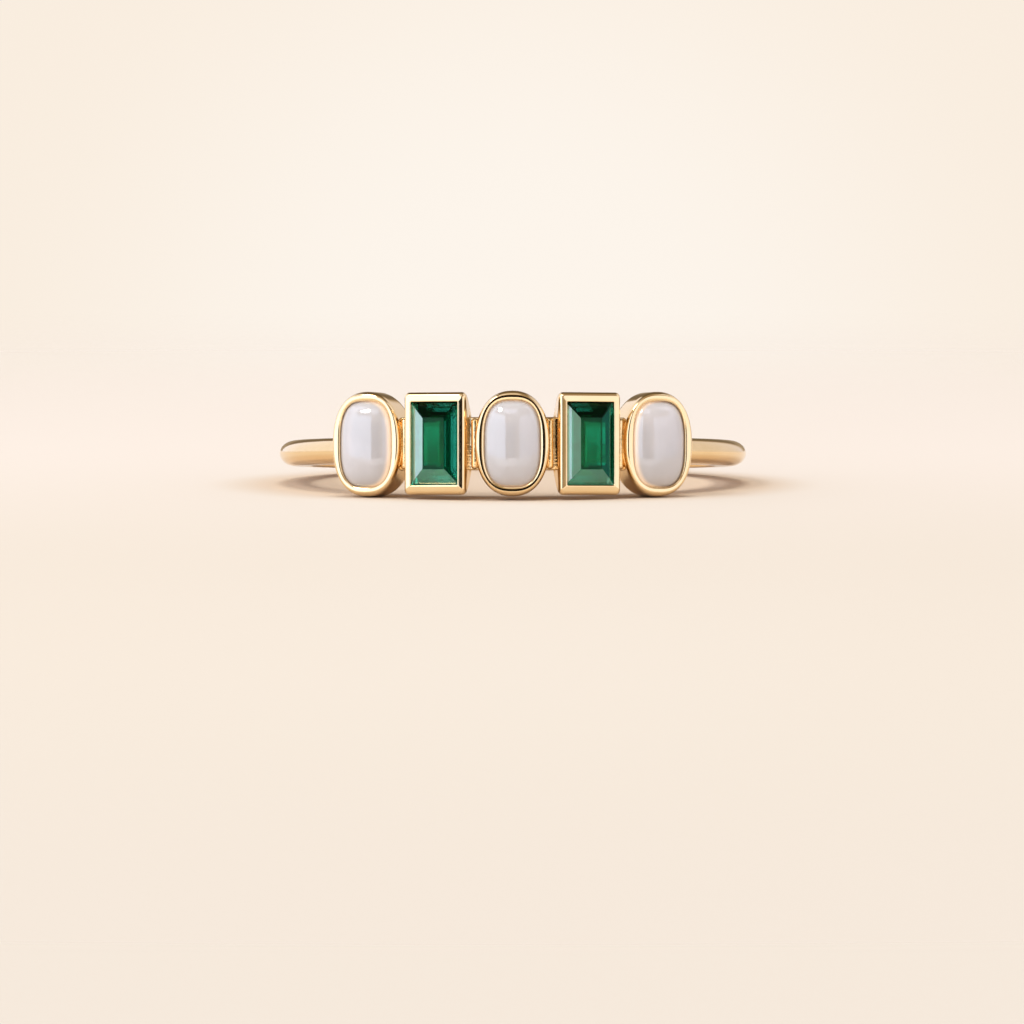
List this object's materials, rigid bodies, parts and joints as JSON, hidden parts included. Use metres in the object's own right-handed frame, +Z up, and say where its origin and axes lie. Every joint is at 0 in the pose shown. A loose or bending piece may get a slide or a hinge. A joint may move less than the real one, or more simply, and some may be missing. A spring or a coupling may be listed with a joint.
{
  "type": "stackable ring",
  "caption": "Slim half-round finger ring with a front row of bezel-set stones, milky oval cabochons alternating with upright step-cut green stones.",
  "frame": {"origin": "on the surface that the ring lies on, under the middle of its bounding box", "axes": "+Z up; -Y to the front, towards the stones; +X to the right of someone facing the stones; the finger hole's axis leans 4.4 degrees back from +Z, as the ring rests on its two end cups and the back of its shank"},
  "size_m": [0.02, 0.0218, 0.0045],
  "materials": {
    "gold": "polished",
    "milky_stone": "polished",
    "green_stone": "polished"
  },
  "bodies": {
    "root": {"band_and_bezels": "gold", "cabochon_left": "milky_stone", "emerald_left": "green_stone", "cabochon_centre": "milky_stone", "emerald_right": "green_stone", "cabochon_right": "milky_stone"}
  },
  "joints": []
}
